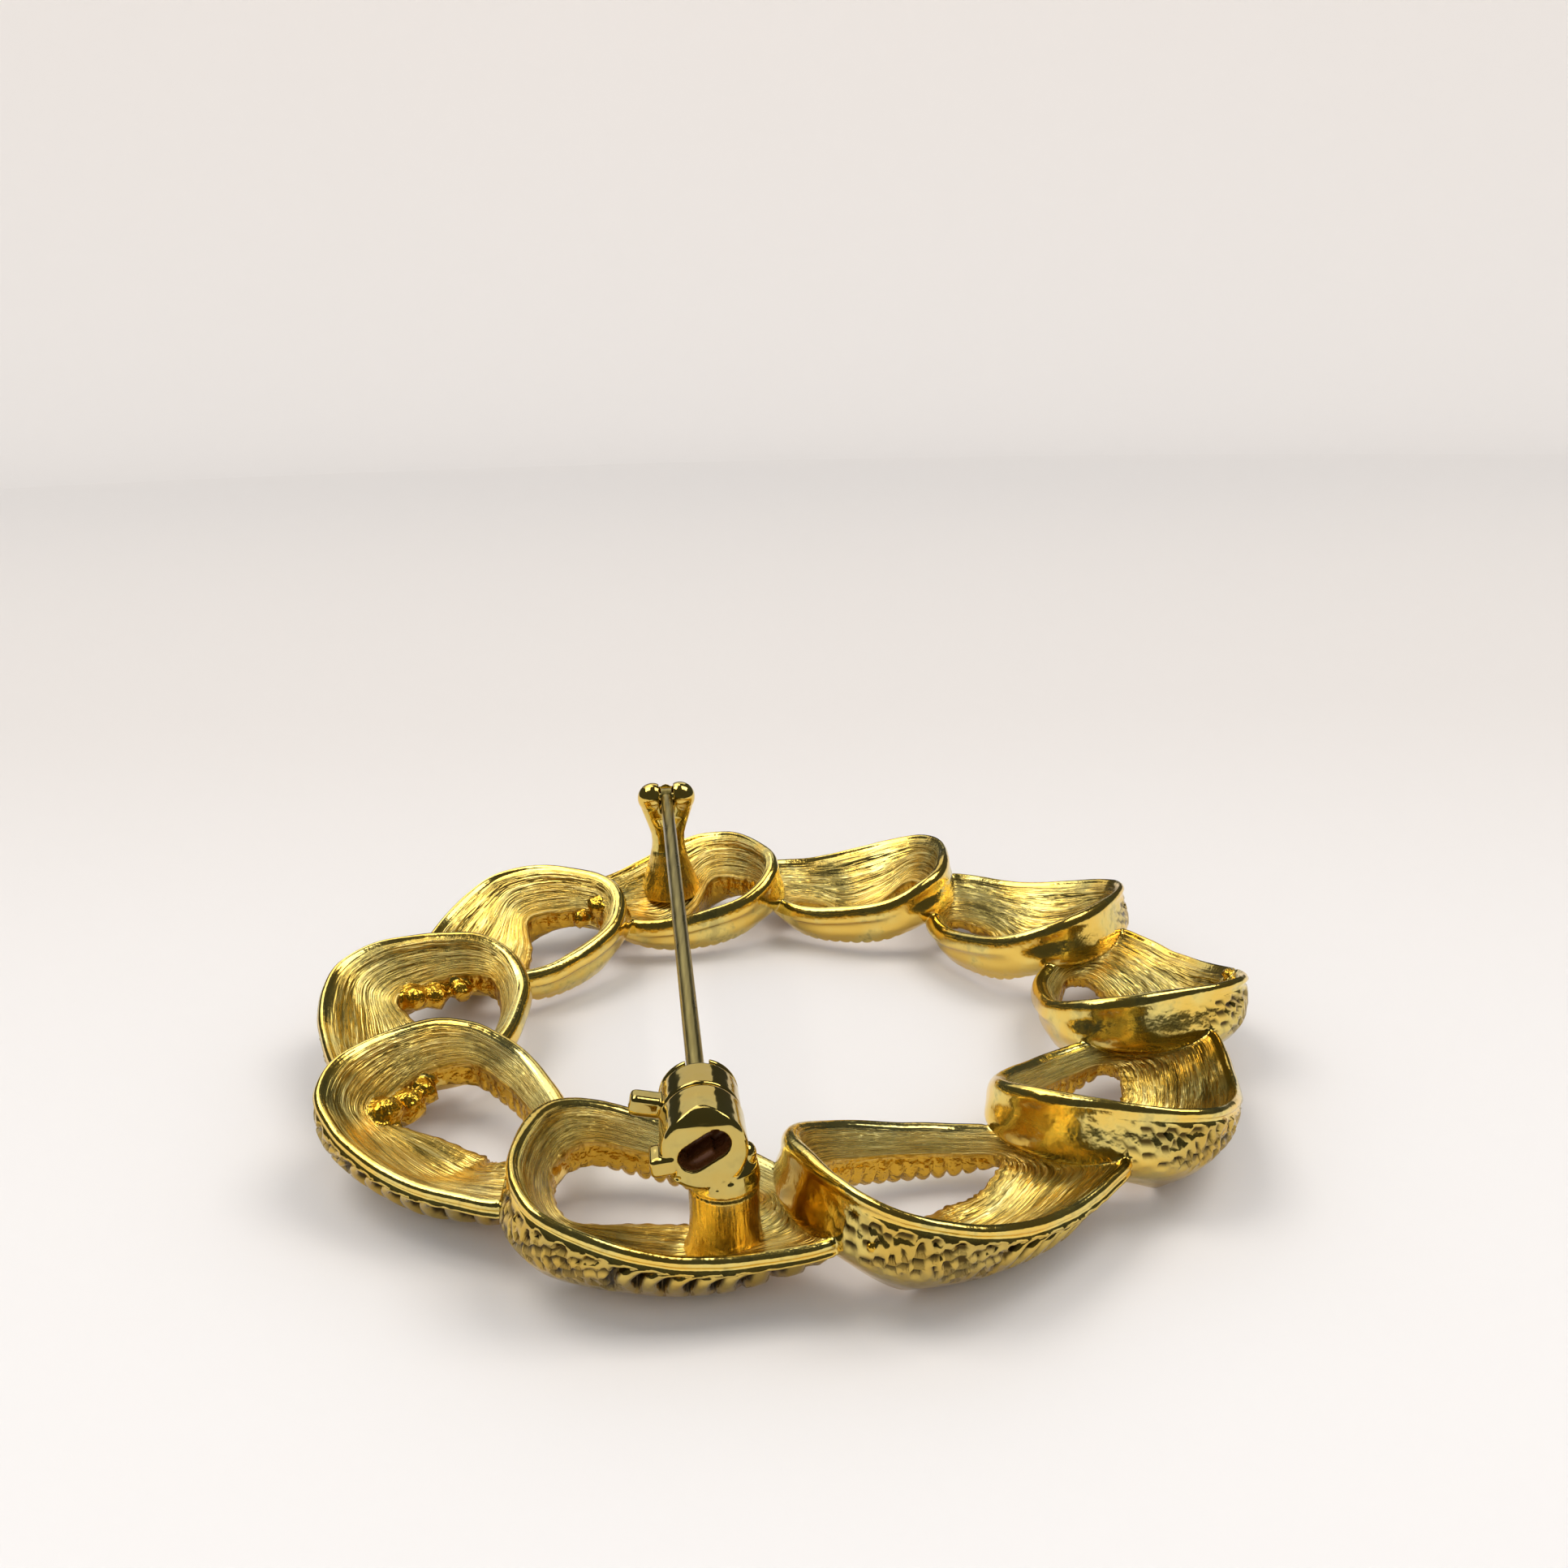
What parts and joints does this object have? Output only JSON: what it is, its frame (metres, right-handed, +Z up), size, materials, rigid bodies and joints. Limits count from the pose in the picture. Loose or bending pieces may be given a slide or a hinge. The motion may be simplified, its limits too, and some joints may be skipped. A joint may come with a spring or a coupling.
{
  "type": "wreath brooch",
  "caption": "Open ring brooch of overlapping hollow cast loops, with a straight hinged pin across its back that closes in a catch with a turning sleeve.",
  "frame": {"origin": "on the surface the brooch lies on, under the middle of the ring", "axes": "+Z up out of the brooch's back as it lies face down, +Y from the middle towards the hinge's side of the ring, +X to the right seen from the catch's side"},
  "size_m": [0.0488, 0.0474, 0.0093],
  "materials": {
    "gold_casting": "gilded cast metal, brushed on the back, polished along the rims",
    "gold_rivet": "gilded, polished",
    "pin_wire": "hard-drawn wire, dull gilt with a bronze tone",
    "gold_sleeve": "gilded, polished"
  },
  "bodies": {
    "frame": {"wreath": "gold_casting", "hinge_rivet": "gold_rivet"},
    "pin": {"pin_stem": "pin_wire"},
    "roller": {"catch_roller": "gold_sleeve"}
  },
  "joints": [
    {"name": "pin_pivot", "type": "hinge", "parent": "frame", "child": "pin", "pos_m": [-0.00738, 0.02073, 0.00835], "axis": [-0.9943, -0.1067, 0], "range_deg": [0, 85]},
    {"name": "catch_roll", "type": "hinge", "parent": "frame", "child": "roller", "pos_m": [-0.0031, -0.01915, 0.0067], "axis": [0.1066, -0.9935, -0.0411], "range_deg": [0, 100]}
  ]
}
